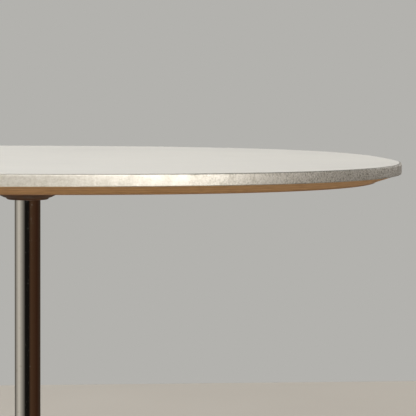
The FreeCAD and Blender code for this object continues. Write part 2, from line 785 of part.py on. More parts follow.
def main():
    doc = FreeCAD.newDocument("bistro_table")
    parts = build(doc)
    check(doc, parts)
    os.makedirs("parts", exist_ok=True)
    for part in parts:
        shape = part.Shape
        shape.exportStep(os.path.join("parts", f"{part.Label}.step"))
        solids = len(shape.Solids)
        print(f"{part.Label}: {solids} solid(s), {shape.Volume / 1000:.2f} cm3")


main()
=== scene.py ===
"""Looks of the bistro table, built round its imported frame. Metres, +Z up."""
import bmesh
import bpy
import json
import math
from mathutils import Matrix, Vector


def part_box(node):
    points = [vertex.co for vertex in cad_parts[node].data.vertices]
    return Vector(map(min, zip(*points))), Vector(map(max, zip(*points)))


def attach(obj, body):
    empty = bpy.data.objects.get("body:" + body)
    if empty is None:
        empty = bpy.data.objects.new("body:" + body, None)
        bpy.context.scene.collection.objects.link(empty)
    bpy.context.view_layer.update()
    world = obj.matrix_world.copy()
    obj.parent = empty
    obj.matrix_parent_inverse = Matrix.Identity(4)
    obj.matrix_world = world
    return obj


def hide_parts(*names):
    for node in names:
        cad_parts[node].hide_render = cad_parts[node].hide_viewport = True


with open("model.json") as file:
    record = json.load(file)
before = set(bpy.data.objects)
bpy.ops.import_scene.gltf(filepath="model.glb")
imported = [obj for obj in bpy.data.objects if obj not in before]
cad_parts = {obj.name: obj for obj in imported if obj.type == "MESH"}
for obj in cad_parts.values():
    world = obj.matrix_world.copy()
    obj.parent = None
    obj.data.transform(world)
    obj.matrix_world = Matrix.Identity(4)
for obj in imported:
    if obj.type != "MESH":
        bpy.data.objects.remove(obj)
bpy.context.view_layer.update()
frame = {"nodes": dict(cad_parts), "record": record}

MM = 0.001
FRAME_BODY = "frame"
TOP_POWER = 2.5          # exponent of the top's supercircular outline
FOOT_TURN = 45           # degrees from +X to the first arm
FEET = (1, 2, 3, 4)


def low(node):
    """Height of a node's foot in millimetres."""
    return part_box(node)[0].z / MM


def high(node):
    """Height of a node's top in millimetres."""
    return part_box(node)[1].z / MM


def reach(node):
    """How far a node stretches from the column's axis along +Y, in millimetres."""
    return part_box(node)[1].y / MM


# the top
TOP = high("top_laminate")
LAMINATE_FOOT = low("top_laminate")
TOP_HALF = reach("edge_band")
BAND_FOOT = low("edge_band")
CORE_HALF = reach("top_laminate")
CORE_FOOT = low("core_board")
BACKING_HALF = reach("backing_laminate")
BAND_DROP = 0.4          # how far the band sits below the laminate's face
BAND_ROUND = 0.9
BARB_THICK = 1.8
BARB_DEPTH = 8
TOP_POINTS = 960         # points round the band and the laminate
BOARD_POINTS = 480
# the flange and the column
COLUMN_RAD = reach("column_tube")
COLUMN_FOOT = low("column_tube")
COLUMN_TOP = high("column_tube")
FLANGE_RAD = reach("mounting_flange")
FLANGE_FOOT = low("mounting_flange")
FLANGE_TOP = high("mounting_flange")
FLANGE_WEB_TOP = low("top_washer")
FLANGE_RIM_THICK = 3.5
TUBE_WALL = 2
WOOD_SCREW_RAD = 2.5
WOOD_SCREW_RING = 83.5
WOOD_SCREWS = 6
# the foot
HUB_RAD = reach("base_plate")
HUB_FOOT = low("base_hub")
HUB_TOP = high("base_hub")
HUB_COLLAR = 20
HUB_SOCKET = COLUMN_FOOT
PLATE_FOOT = low("base_plate")
ROD_RAD = reach("tie_rod")
ROD_HOLE_RAD = ROD_RAD + 0.3
NUT_FLATS = 17
ARM_HIGH = high("base_arm_1")
ARM_ROOT = 19
ARM_REACH = 330
ARM_HALF_WIDTHS = (16, 13.5, 12)     # at the hub, halfway and at the tip
ARM_TOPS = (ARM_HIGH, 43, 31)
ARM_FEET = (HUB_FOOT, 20, 16)
ARM_ROUND = 6.5
ARM_WALL = 4.5
ARM_CUTS = 24            # level cuts across the arm, so that it bends smoothly
ARM_CUT_GAP = 11.5
SLOT_HALF_WIDTH = 16.2
ARM_SCREWS = (28, 42)    # distances of an arm's two screws from the column's axis
ARM_SCREW_RAD = 4
ARM_SCREW_HEAD_RAD = 6.5
ARM_SCREW_SOCKET = 6     # across the socket's flats
BOSS_FOOT = low("base_arm_1")
BOSS_RAD = 11
BOSS_TOP = 24
SLEEVE_RAD = 7
SLEEVE_TOP = high("foot_inserts")
STEM_RAD = 4
STEM_PITCH = 1.25
STEM_TOP = high("glide_stem_1")
STEM_FLATS = 13
HEX_FOOT = BOSS_FOOT - 4
BALL_RAD = 4
NECK_RAD = 2.5
BALL_HEIGHT = low("glide_stem_1") + BALL_RAD
PAD_RAD = 15
PAD_TOP = high("glide_pad_1")
ROD_PITCH = 1.5


# ---------------------------------------------------------------- nodes and colours

def linear(hex_colour):
    """An sRGB hex colour as linear red, green, blue and alpha."""
    out = []
    for i in (0, 2, 4):
        c = int(hex_colour[i:i + 2], 16) / 255
        out.append(c / 12.92 if c <= 0.04045 else ((c + 0.055) / 1.055) ** 2.4)
    return (*out, 1.0)


def add(tree, kind, inputs=None, out=0, stops=None, **settings):
    """Add a node and give one of its output sockets.

    Inputs are values, hex colours or the sockets to read; stops are a ramp's (place, colour
    or grey); settings are the node's own properties.
    """
    made = tree.nodes.new("ShaderNode" + kind)
    for name, value in settings.items():
        setattr(made, name, value)
    for name, value in (inputs or {}).items():
        if isinstance(value, bpy.types.NodeSocket):
            tree.links.new(value, made.inputs[name])
        else:
            made.inputs[name].default_value = linear(value) if isinstance(value, str) else value
    if stops:
        points = made.color_ramp.elements
        while len(points) < len(stops):
            points.new(1.0)
        for point, (place, colour) in zip(points, stops):
            point.position = place
            grey = (colour,) * 3 + (1.0,) if isinstance(colour, (int, float)) else None
            point.color = grey or linear(colour)
    return made.outputs[out] if made.outputs else made


def per(size):
    """Texture scale at which a cell of a pattern is size millimetres wide."""
    return 1 / (size * MM)


def begin(name):
    """An empty material, its tree, and the Object coordinates that its patterns read."""
    material = bpy.data.materials.new(name)
    material.use_nodes = True
    tree = material.node_tree
    tree.nodes.clear()
    return material, tree, add(tree, "TexCoord", out="Object")


def end(material, **values):
    """Give a material its shader. Values are its inputs, with spaces as underscores."""
    tree = material.node_tree
    inputs = {key.replace("_", " "): value for key, value in values.items()}
    shader = add(tree, "BsdfPrincipled", inputs, out="BSDF")
    add(tree, "OutputMaterial", {"Surface": shader})
    return material


# ---------------------------------------------------------------- materials

def laminate_white():
    """High-pressure laminate pressed against a satin plate.

    An even off-white with a soft sheen, a fine pebble and a haze of wiping marks. Below its
    printed face the sheet is dark brown, which shows as a thin line round the top.
    """
    m, t, p = begin("satin_white_laminate")
    tone = add(t, "TexNoise", {"Vector": p, "Scale": per(260), "Detail": 4})
    face = add(t, "ValToRGB", {"Fac": tone}, stops=[(0.3, "dfdcd5"), (0.7, "e6e3db")])
    cloud = add(t, "Mapping", {"Vector": p, "Location": (3, 3, 3)})
    cloud = add(t, "TexNoise", {"Vector": cloud, "Scale": per(55), "Detail": 5, "Roughness": 0.6})
    cloud = add(t, "ValToRGB", {"Fac": cloud}, stops=[(0.60, 0.0), (0.78, 0.25)])
    face = add(t, "Mix", {0: cloud, 6: face, 7: "ccc8bd"}, out=2, data_type="RGBA")
    height = add(t, "SeparateXYZ", {"Vector": p}, out="Z")
    printed = add(t, "Math", {0: height, 1: (TOP - 0.12) * MM}, operation="GREATER_THAN")
    colour = add(t, "Mix", {0: printed, 6: "3b342b", 7: face}, out=2, data_type="RGBA")
    wiping = add(t, "Mapping", {"Vector": p, "Scale": (0.35, 1.6, 1.0)})
    wiping = add(t, "TexNoise", {"Vector": wiping, "Scale": per(30), "Detail": 4})
    hairs = add(t, "Mapping", {"Vector": p, "Scale": (0.03, 1.0, 1.0), "Location": (2, 2, 2)})
    hairs = add(t, "TexNoise", {"Vector": hairs, "Scale": per(2.2), "Detail": 2})
    hairs = add(t, "ValToRGB", {"Fac": hairs}, stops=[(0.66, 0.0), (0.72, 0.08)])
    rough = add(t, "Math", {0: wiping, 1: 0.14, 2: 0.30}, operation="MULTIPLY_ADD")
    rough = add(t, "Math", {0: rough, 1: hairs})
    pebble = add(t, "TexNoise", {"Vector": p, "Scale": per(1.2), "Detail": 2})
    relief = add(t, "Bump", {"Height": pebble, "Distance": 0.012 * MM})
    waves = add(t, "Mapping", {"Vector": p, "Location": (5, 5, 5)})
    waves = add(t, "TexNoise", {"Vector": waves, "Scale": per(140), "Detail": 2})
    relief = add(t, "Bump", {"Height": waves, "Distance": 0.25 * MM, "Normal": relief})
    return end(m, Base_Color=colour, Roughness=rough, Normal=relief, IOR=1.5)


def laminate_brown():
    """Balancing laminate: plain brown phenolic sheet, matt and faintly mottled."""
    m, t, p = begin("matt_brown_laminate")
    tone = add(t, "TexNoise", {"Vector": p, "Scale": per(40), "Detail": 5})
    colour = add(t, "ValToRGB", {"Fac": tone}, stops=[(0.3, "7a5a3e"), (0.7, "886648")])
    smear = add(t, "TexNoise", {"Vector": p, "Scale": per(9), "Detail": 3})
    rough = add(t, "Math", {0: smear, 1: 0.2, 2: 0.45}, operation="MULTIPLY_ADD")
    pebble = add(t, "TexNoise", {"Vector": p, "Scale": per(0.9), "Detail": 2})
    relief = add(t, "Bump", {"Height": pebble, "Distance": 0.015 * MM})
    return end(m, Base_Color=colour, Roughness=rough, Normal=relief, IOR=1.5)


def band_aluminium():
    """Extruded aluminium left bare and worn.

    A soft grey shine, grained with small pits and polished rub spots painted near white as glints,
    with level rub marks.
    The pits are drawn about 2 mm wide, coarser than real ones, so that they show.
    """
    m, t, p = begin("worn_extruded_aluminium")
    cells = add(t, "TexNoise", {"Vector": p, "Scale": per(2.4), "Detail": 4, "Roughness": 0.7})
    aged = add(t, "Mapping", {"Vector": p, "Location": (6, 6, 6)})
    aged = add(t, "TexNoise", {"Vector": aged, "Scale": per(14), "Detail": 4})
    grain = add(t, "Mapping", {"Vector": p, "Location": (2, 2, 2)})
    grain = add(t, "TexNoise", {"Vector": grain, "Scale": per(2.0), "Detail": 3, "Roughness": 0.65})
    across = add(t, "SeparateXYZ", {"Vector": p}, out="X")
    # Pits and the painted glints are drawn denser towards +X.
    worn = add(t, "Math", {0: across, 1: 5.0, 2: -0.75}, operation="MULTIPLY_ADD",
               use_clamp=True)
    worn = add(t, "Math", {0: worn, 1: 0.9, 2: 0.1}, operation="MULTIPLY_ADD")
    pits = add(t, "ValToRGB", {"Fac": grain}, stops=[(0.52, 0.0), (0.58, 0.85)])
    patches = add(t, "ValToRGB", {"Fac": aged}, stops=[(0.42, 0.6), (0.54, 1.0)])
    worn = add(t, "Math", {0: worn, 1: patches}, operation="MULTIPLY")
    pits = add(t, "Math", {0: pits, 1: worn}, operation="MULTIPLY")
    # Polished rub spots: smoother, and painted near white as glints.
    rub_spots_and_glints = add(t, "ValToRGB", {"Fac": grain}, stops=[(0.38, 1.0), (0.43, 0.0)])
    rub_spots_and_glints = add(t, "Math", {0: rub_spots_and_glints, 1: worn}, operation="MULTIPLY")
    colour = add(t, "ValToRGB", {"Fac": cells},
                 stops=[(0.32, "c8c2b6"), (0.52, "d4cfc4"), (0.72, "dcd8cf")])
    blotch = add(t, "ValToRGB", {"Fac": aged}, stops=[(0.50, 0.0), (0.70, 0.30)])
    colour = add(t, "Mix", {0: blotch, 6: colour, 7: "aaa596"}, out=2, data_type="RGBA")
    colour = add(t, "Mix", {0: pits, 6: colour, 7: "7a7263"}, out=2, data_type="RGBA")
    # Painted glints: the rub spots lightened to near white.
    colour = add(t, "Mix", {0: rub_spots_and_glints, 6: colour, 7: "f4f0e6"}, out=2, data_type="RGBA")
    rough = add(t, "Math", {0: cells, 1: 0.16, 2: 0.22}, operation="MULTIPLY_ADD")
    rough = add(t, "Math", {0: pits, 1: 0.25, 2: rough}, operation="MULTIPLY_ADD")
    rough = add(t, "Math", {0: aged, 1: 0.12, 2: rough}, operation="MULTIPLY_ADD")
    rough = add(t, "Math", {0: rub_spots_and_glints, 1: -0.12, 2: rough}, operation="MULTIPLY_ADD")
    rubs = add(t, "Mapping", {"Vector": p, "Scale": (0.08, 0.08, 1.0)})
    rubs = add(t, "TexNoise", {"Vector": rubs, "Scale": per(1.1), "Detail": 4, "Roughness": 0.6})
    relief = add(t, "Bump", {"Height": cells, "Distance": 0.10 * MM, "Strength": worn})
    relief = add(t, "Bump", {"Height": rubs, "Distance": 0.02 * MM, "Normal": relief})
    relief = add(t, "Bump", {"Height": pits, "Distance": -0.12 * MM, "Normal": relief})
    return end(m, Base_Color=colour, Roughness=rough, Normal=relief, Metallic=1.0)


def board_wood():
    """Lacquered birch plywood: the plies show as level bands along the bevel."""
    m, t, p = begin("lacquered_birch_plywood")
    height = add(t, "SeparateXYZ", {"Vector": p}, out="Z")
    wobble = add(t, "TexNoise", {"Vector": p, "Scale": per(60), "Detail": 2})
    height = add(t, "Math", {0: wobble, 1: 0.6 * MM, 2: height}, operation="MULTIPLY_ADD")
    ply = add(t, "Math", {0: height, 1: 1.4 * MM}, operation="PINGPONG")
    ply = add(t, "Math", {0: ply, 1: per(1.4)}, operation="MULTIPLY")
    colour = add(t, "ValToRGB", {"Fac": ply},
                 stops=[(0.15, "b2844f"), (0.55, "bd8f5a"), (0.9, "c39560")])
    grain = add(t, "Mapping", {"Vector": p, "Scale": (0.12, 0.12, 1.0)})
    grain = add(t, "TexNoise", {"Vector": grain, "Scale": per(1.6), "Detail": 4,
                                "Roughness": 0.6})
    streak = add(t, "ValToRGB", {"Fac": grain}, stops=[(0.40, 0.0), (0.75, 0.5)])
    colour = add(t, "Mix", {0: streak, 6: colour, 7: "875f38"}, out=2, data_type="RGBA")
    rough = add(t, "Math", {0: grain, 1: 0.2, 2: 0.38}, operation="MULTIPLY_ADD")
    relief = add(t, "Bump", {"Height": grain, "Distance": 0.04 * MM})
    return end(m, Base_Color=colour, Roughness=rough, Normal=relief, IOR=1.3)


def flange_enamel():
    """Sand casting turned on its faces, under brown-black satin enamel."""
    m, t, p = begin("satin_brown_enamel_on_casting")
    tone = add(t, "TexNoise", {"Vector": p, "Scale": per(14), "Detail": 5})
    colour = add(t, "ValToRGB", {"Fac": tone}, stops=[(0.3, "42291a"), (0.7, "5c3f29")])
    rough = add(t, "Math", {0: tone, 1: 0.2, 2: 0.42}, operation="MULTIPLY_ADD")
    rings = add(t, "TexWave", {"Vector": p, "Scale": per(1.8) / 20, "Distortion": 0.3,
                               "Detail": 1.0}, out="Fac", wave_type="RINGS",
                rings_direction="Z")
    relief = add(t, "Bump", {"Height": rings, "Distance": 0.03 * MM})
    sand = add(t, "TexNoise", {"Vector": p, "Scale": per(1.4), "Detail": 3})
    relief = add(t, "Bump", {"Height": sand, "Distance": 0.03 * MM, "Normal": relief})
    return end(m, Base_Color=colour, Roughness=rough, Normal=relief, IOR=1.27)


def column_chrome():
    """Drawn steel tube, buffed and chrome plated: mirror bright, with age spots and pits."""
    m, t, p = begin("old_chrome_plate")
    haze = add(t, "Mapping", {"Vector": p, "Scale": (1.0, 1.0, 0.03)})
    haze = add(t, "TexNoise", {"Vector": haze, "Scale": per(7), "Detail": 3})
    pits = add(t, "Mapping", {"Vector": p, "Location": (4, 4, 4)})
    pits = add(t, "TexNoise", {"Vector": pits, "Scale": per(1.6), "Detail": 3, "Roughness": 0.7})
    pits = add(t, "ValToRGB", {"Fac": pits}, stops=[(0.68, 0.0), (0.74, 0.8)])
    spots = add(t, "Mapping", {"Vector": p, "Location": (7, 7, 7)})
    spots = add(t, "TexNoise", {"Vector": spots, "Scale": per(5), "Detail": 4, "Roughness": 0.6})
    spots = add(t, "ValToRGB", {"Fac": spots}, stops=[(0.60, 0.0), (0.78, 0.35)])
    colour = add(t, "Mix", {0: spots, 6: "dad6cf", 7: "a3937c"}, out=2, data_type="RGBA")
    colour = add(t, "Mix", {0: pits, 6: colour, 7: "3a3028"}, out=2, data_type="RGBA")
    rough = add(t, "Math", {0: haze, 1: 0.02, 2: 0.015}, operation="MULTIPLY_ADD")
    rough = add(t, "Math", {0: spots, 1: 0.2, 2: rough}, operation="MULTIPLY_ADD")
    rough = add(t, "Math", {0: pits, 1: 0.1, 2: rough}, operation="MULTIPLY_ADD")
    relief = add(t, "Bump", {"Height": haze, "Distance": 0.006 * MM})
    relief = add(t, "Bump", {"Height": pits, "Distance": -0.02 * MM, "Normal": relief})
    return end(m, Base_Color=colour, Roughness=rough, Normal=relief, Metallic=1.0)


def steel_zinc():
    """Zinc-plated steel: pale grey, slightly blue, clouded where it was handled."""
    m, t, p = begin("zinc_plated_steel")
    cloud = add(t, "TexNoise", {"Vector": p, "Scale": per(6), "Detail": 4})
    colour = add(t, "ValToRGB", {"Fac": cloud}, stops=[(0.3, "9b9da0"), (0.7, "bcbdbd")])
    rough = add(t, "Math", {0: cloud, 1: 0.25, 2: 0.25}, operation="MULTIPLY_ADD")
    etch = add(t, "TexNoise", {"Vector": p, "Scale": per(0.6), "Detail": 2})
    relief = add(t, "Bump", {"Height": etch, "Distance": 0.01 * MM})
    return end(m, Base_Color=colour, Roughness=rough, Normal=relief, Metallic=1.0)


def foot_aluminium():
    """Cast aluminium ground and polished: bright, with soft waves and fine buffing lines."""
    m, t, p = begin("polished_cast_aluminium")
    tone = add(t, "TexNoise", {"Vector": p, "Scale": per(18), "Detail": 4})
    colour = add(t, "ValToRGB", {"Fac": tone}, stops=[(0.3, "bdbab4"), (0.7, "cfccc6")])
    pits = add(t, "Mapping", {"Vector": p, "Location": (2, 2, 2)})
    pits = add(t, "TexNoise", {"Vector": pits, "Scale": per(2.0), "Detail": 3, "Roughness": 0.7})
    pits = add(t, "ValToRGB", {"Fac": pits}, stops=[(0.70, 0.0), (0.76, 0.5)])
    colour = add(t, "Mix", {0: pits, 6: colour, 7: "77726a"}, out=2, data_type="RGBA")
    buffing = add(t, "Mapping", {"Vector": p, "Scale": (0.1, 0.1, 1.0)})
    buffing = add(t, "TexNoise", {"Vector": buffing, "Scale": per(0.8), "Detail": 3})
    rough = add(t, "Math", {0: buffing, 1: 0.10, 2: 0.18}, operation="MULTIPLY_ADD")
    rough = add(t, "Math", {0: pits, 1: 0.4, 2: rough}, operation="MULTIPLY_ADD")
    waves = add(t, "TexNoise", {"Vector": p, "Scale": per(35), "Detail": 2})
    relief = add(t, "Bump", {"Height": waves, "Distance": 0.12 * MM})
    relief = add(t, "Bump", {"Height": buffing, "Distance": 0.008 * MM, "Normal": relief})
    relief = add(t, "Bump", {"Height": pits, "Distance": -0.06 * MM, "Normal": relief})
    return end(m, Base_Color=colour, Roughness=rough, Normal=relief, Metallic=1.0)


def sleeve_brass():
    """Turned brass: yellow, with tool lines round it."""
    m, t, p = begin("turned_brass")
    tone = add(t, "TexNoise", {"Vector": p, "Scale": per(5), "Detail": 3})
    colour = add(t, "ValToRGB", {"Fac": tone}, stops=[(0.3, "a5823f"), (0.7, "bd9a56")])
    lines = add(t, "Mapping", {"Vector": p, "Scale": (0.1, 0.1, 1.0)})
    lines = add(t, "TexNoise", {"Vector": lines, "Scale": per(0.7), "Detail": 2})
    rough = add(t, "Math", {0: lines, 1: 0.15, 2: 0.22}, operation="MULTIPLY_ADD")
    relief = add(t, "Bump", {"Height": lines, "Distance": 0.01 * MM})
    return end(m, Base_Color=colour, Roughness=rough, Normal=relief, Metallic=1.0)


def pad_nylon():
    """Injection-moulded nylon: near black, spark-eroded satin with scuffs."""
    m, t, p = begin("moulded_black_nylon")
    scuff = add(t, "TexNoise", {"Vector": p, "Scale": per(4), "Detail": 4})
    colour = add(t, "ValToRGB", {"Fac": scuff}, stops=[(0.35, "1d1d20"), (0.75, "2f2f32")])
    rough = add(t, "Math", {0: scuff, 1: 0.25, 2: 0.38}, operation="MULTIPLY_ADD")
    spark = add(t, "TexNoise", {"Vector": p, "Scale": per(0.5), "Detail": 2})
    relief = add(t, "Bump", {"Height": spark, "Distance": 0.02 * MM})
    return end(m, Base_Color=colour, Roughness=rough, Normal=relief, IOR=1.53)


MATERIALS = {make.__name__: make() for make in (
    laminate_white, laminate_brown, band_aluminium, board_wood, flange_enamel,
    column_chrome, steel_zinc, foot_aluminium, sleeve_brass, pad_nylon)}


def dress(piece, slot):
    """Give a piece or a CAD node the material of a slot."""
    if not piece.material_slots:
        piece.data.materials.append(None)
    for place in piece.material_slots:
        place.material = MATERIALS[slot]


# ---------------------------------------------------------------- modelling

def deselect():
    if bpy.context.object and bpy.context.object.mode != "OBJECT":
        bpy.ops.object.mode_set(mode="OBJECT")
    bpy.ops.object.select_all(action="DESELECT")


def activate(piece):
    deselect()
    piece.select_set(True)
    bpy.context.view_layer.objects.active = piece


def edit(piece):
    """Open a piece for editing, with nothing selected."""
    activate(piece)
    bpy.ops.object.mode_set(mode="EDIT")
    bpy.ops.mesh.select_all(action="DESELECT")


def pick(kind, test):
    """In edit mode, select just the vertices, edges or faces that pass test."""
    bpy.ops.mesh.select_mode(type=kind)
    bpy.ops.mesh.select_all(action="DESELECT")
    mesh = bmesh.from_edit_mesh(bpy.context.object.data)
    mesh.normal_update()
    for item in {"VERT": mesh.verts, "EDGE": mesh.edges, "FACE": mesh.faces}[kind]:
        if test(item):
            item.select_set(True)
    mesh.select_flush_mode()
    bmesh.update_edit_mesh(bpy.context.object.data)


def pick_all(kind="FACE"):
    bpy.ops.mesh.select_mode(type=kind)
    bpy.ops.mesh.select_all(action="SELECT")


def close_up():
    """Merge doubles, turn all faces outwards and leave edit mode."""
    pick_all("VERT")
    bpy.ops.mesh.remove_doubles(threshold=0.005 * MM)
    bpy.ops.mesh.normals_make_consistent(inside=False)
    bpy.ops.object.mode_set(mode="OBJECT")


def settle(piece, name):
    """Name a piece and put its place into its mesh."""
    activate(piece)
    piece.name = name
    piece.data.name = name
    bpy.ops.object.transform_apply(location=True, rotation=True, scale=True)
    return piece


def apply_modifier(piece, kind, **settings):
    activate(piece)
    modifier = piece.modifiers.new(kind.lower(), kind)
    for key, value in settings.items():
        setattr(modifier, key, value)
    bpy.ops.object.modifier_apply(modifier=modifier.name)


def smooth(piece, angle=30):
    """Shade smoothly, large faces leading, so that flats stay flat up to their rounding."""
    activate(piece)
    bpy.ops.object.shade_smooth_by_angle(angle=math.radians(angle))
    apply_modifier(piece, "WEIGHTED_NORMAL", weight=100, keep_sharp=True)


def round_edges(piece, width, segments=3, angle=30):
    """Round every sharp edge, then shade."""
    apply_modifier(piece, "BEVEL", width=width * MM, segments=segments, limit_method="ANGLE",
                   angle_limit=math.radians(angle), use_clamp_overlap=True)
    smooth(piece, angle)


def combine(piece, other, operation):
    """Cut another solid out of a piece, join it on, or keep what they share."""
    apply_modifier(piece, "BOOLEAN", object=other, operation=operation, solver="EXACT")
    bpy.data.objects.remove(other)


def turned(name, outline, steps=96, closed=True):
    """Turn an outline of (radius, height) millimetres round the Z axis, as on a lathe."""
    deselect()
    radius, height = outline[0]
    bpy.ops.mesh.primitive_plane_add(size=MM, location=(radius * MM, 0, height * MM))
    piece = bpy.context.object
    edit(piece)
    pick_all("VERT")
    bpy.ops.mesh.merge(type="CENTER")
    for r, h in outline[1:] + ([outline[0]] if closed else []):
        step = Vector(((r - radius) * MM, 0, (h - height) * MM))
        bpy.ops.mesh.extrude_vertices_move(TRANSFORM_OT_translate={"value": step})
        radius, height = r, h
    pick_all("VERT")
    bpy.ops.mesh.spin(steps=steps, angle=2 * math.pi, center=(0, 0, 0), axis=(0, 0, 1))
    close_up()
    return settle(piece, name)


def arc(centre, radius, start, stop, steps):
    """Points on an arc in an outline, its angles in degrees from level outwards."""
    angles = [math.radians(start + (stop - start) * k / steps) for k in range(steps + 1)]
    return [(centre[0] + radius * math.cos(a), centre[1] + radius * math.sin(a))
            for a in angles]


def block(name, low_corner, high_corner):
    """A plain cutter or blank between two corners in millimetres."""
    deselect()
    middle = [(a + b) / 2 * MM for a, b in zip(low_corner, high_corner)]
    size = [(b - a) * MM for a, b in zip(low_corner, high_corner)]
    bpy.ops.mesh.primitive_cube_add(size=1, location=middle, scale=size)
    return settle(bpy.context.object, name)


def rod_blank(name, radius, bottom, top, sides=64, along=0):
    """A round or, with six sides, hexagonal bar standing at a distance along +X."""
    deselect()
    bpy.ops.mesh.primitive_cylinder_add(
        vertices=sides, radius=radius * MM, depth=(top - bottom) * MM,
        location=(along * MM, 0, (bottom + top) / 2 * MM))
    return settle(bpy.context.object, name)


def hexagon_bar(name, flats, bottom, top, chamfer=1.0):
    """A hexagon bar across its flats, both ends turned to a chamfer."""
    corner = flats / math.sqrt(3)
    piece = rod_blank(name, corner, bottom, top, sides=6)
    end_rad = flats / 2 - 0.3
    cone = turned("chamfer", [(0, bottom), (end_rad, bottom), (corner + 0.1, bottom + chamfer),
                              (corner + 0.1, top - chamfer), (end_rad, top), (0, top)],
                  closed=False)
    combine(piece, cone, "INTERSECT")
    return piece


def threaded(name, radius, pitch, bottom, top, steps=24):
    """A screw thread: one pitch of the flank wound up, cut flat at both ends."""
    deselect()
    depth = 0.6 * pitch
    start = bottom - 1.5 * pitch
    bpy.ops.mesh.primitive_plane_add(size=MM, location=((radius - depth) * MM, 0, start * MM))
    piece = bpy.context.object
    edit(piece)
    pick_all("VERT")
    bpy.ops.mesh.merge(type="CENTER")
    for across, up in ((depth, 0.44), (0, 0.12), (-depth, 0.44)):
        step = Vector((across * MM, 0, up * pitch * MM))
        bpy.ops.mesh.extrude_vertices_move(TRANSFORM_OT_translate={"value": step})
    bpy.ops.object.mode_set(mode="OBJECT")
    settle(piece, name)
    turns = math.ceil((top - bottom) / pitch) + 3
    apply_modifier(piece, "SCREW", screw_offset=pitch * MM, iterations=turns, steps=steps,
                   render_steps=steps, use_merge_vertices=True, merge_threshold=0.01 * MM)
    edit(piece)
    pick_all("VERT")
    bpy.ops.mesh.remove_doubles(threshold=0.01 * MM)
    for height, side in ((bottom, -1), (top, 1)):
        pick_all()
        bpy.ops.mesh.bisect(plane_co=(0, 0, height * MM), plane_no=(0, 0, side),
                            use_fill=True, clear_outer=True)
    close_up()
    return piece


def stand(pieces, name, places):
    """Copy pieces to places of (distance, degrees) round the column and join the copies."""
    copies = []
    for distance, degrees in places:
        for piece in pieces:
            copy = piece.copy()
            copy.data = piece.data.copy()
            bpy.context.scene.collection.objects.link(copy)
            turn = Matrix.Rotation(math.radians(degrees), 4, "Z")
            copy.matrix_world = turn @ Matrix.Translation((distance * MM, 0, 0))
            copies.append(copy)
    for piece in pieces:
        bpy.data.objects.remove(piece)
    activate(copies[0])
    for copy in copies:
        copy.select_set(True)
    if len(copies) > 1:
        bpy.ops.object.join()
    return settle(bpy.context.object, name)


def add_piece(piece, slot, body, *nodes):
    """Dress a new piece, let it ride on a body, and stand it in for its CAD nodes."""
    dress(piece, slot)
    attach(piece, body)
    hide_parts(*nodes)


# ---------------------------------------------------------------- the top

def supercircle_disc(name, half, height, around):
    """A flat face with the top's outline, half millimetres from its middle to its sides."""
    deselect()
    bpy.ops.mesh.primitive_circle_add(
        vertices=around, radius=half * MM, fill_type="NGON", location=(0, 0, height * MM))
    piece = bpy.context.object
    for vertex in piece.data.vertices:
        c, s = (abs(v) / (half * MM) for v in vertex.co.xy)
        stretch = (c ** TOP_POWER + s ** TOP_POWER) ** (-1 / TOP_POWER)
        vertex.co.x *= stretch
        vertex.co.y *= stretch
    return settle(piece, name)


def spread(point):
    """Half width in millimetres of the supercircle that passes through a point."""
    x, y = abs(point.x), abs(point.y)
    return (x ** TOP_POWER + y ** TOP_POWER) ** (1 / TOP_POWER) / MM


def level_face(height):
    """A test for faces lying level at a height in millimetres."""
    return lambda face: abs(face.normal.z) > 0.9 and abs(
        face.calc_center_median().z / MM - height) < 0.05


def upright_between(bottom, top, inside):
    """A test for upright faces that lie between two heights and within a half width."""
    def test(face):
        middle = face.calc_center_median()
        return (abs(face.normal.z) < 0.1 and bottom < middle.z / MM < top
                and spread(middle) < inside)
    return test


def extrude_down(depth):
    bpy.ops.mesh.extrude_region_move(TRANSFORM_OT_translate={"value": (0, 0, -depth * MM)})


def make_laminate():
    """The pressed sheet, its edge filed to a narrow chamfer."""
    piece = supercircle_disc("top_laminate_pressed", CORE_HALF, TOP, TOP_POINTS)
    edit(piece)
    pick_all()
    extrude_down(TOP - LAMINATE_FOOT)
    close_up()
    round_edges(piece, 0.08, segments=2)
    add_piece(piece, "laminate_white", FRAME_BODY, "top_laminate")


def make_edge_band():
    """The bent band: outer corners rounded, a barb inside, one butt joint, worn corners."""
    band_top = TOP - BAND_DROP
    thick = TOP_HALF - CORE_HALF
    piece = supercircle_disc("edge_band_worn", TOP_HALF, band_top, TOP_POINTS)
    edit(piece)
    pick_all()
    extrude_down(band_top - BAND_FOOT)
    pick_all()
    bpy.ops.mesh.normals_make_consistent(inside=False)
    for height in (band_top, BAND_FOOT):
        pick("FACE", level_face(height))
        bpy.ops.mesh.inset(thickness=thick * MM, depth=0)
    pick("FACE", lambda f: abs(f.normal.z) > 0.9 and len(f.verts) > 8)
    bpy.ops.mesh.delete(type="FACE")
    inner = TOP_HALF - thick / 2
    pick("EDGE", lambda e: all(spread(v.co) < inner for v in e.verts))
    bpy.ops.mesh.bridge_edge_loops()
    pick("EDGE", lambda e: all(spread(v.co) > inner for v in e.verts)
         and abs(e.verts[0].co.z - e.verts[1].co.z) < 1e-6)
    bpy.ops.mesh.bevel(offset=BAND_ROUND * MM, segments=4, profile=0.5, affect="EDGES")
    add_barb(BARB_THICK, BARB_DEPTH, inner)
    cut_joint(0.3)
    close_up()
    wear = bpy.data.textures.new("rubbed_corners", "CLOUDS")
    wear.noise_scale = 5 * MM
    wear.noise_depth = 2
    corners = piece.vertex_groups.new(name="corners")
    rounded = [v.index for v in piece.data.vertices if spread(v.co) > TOP_HALF - 1.2
               and min(abs(v.co.z / MM - h) for h in (band_top, BAND_FOOT)) < 0.7]
    corners.add(rounded, 1.0, "ADD")
    apply_modifier(piece, "DISPLACE", texture=wear, strength=0.30 * MM, mid_level=1.0,
                   vertex_group="corners")
    smooth(piece, 40)
    add_piece(piece, "band_aluminium", FRAME_BODY, "edge_band")


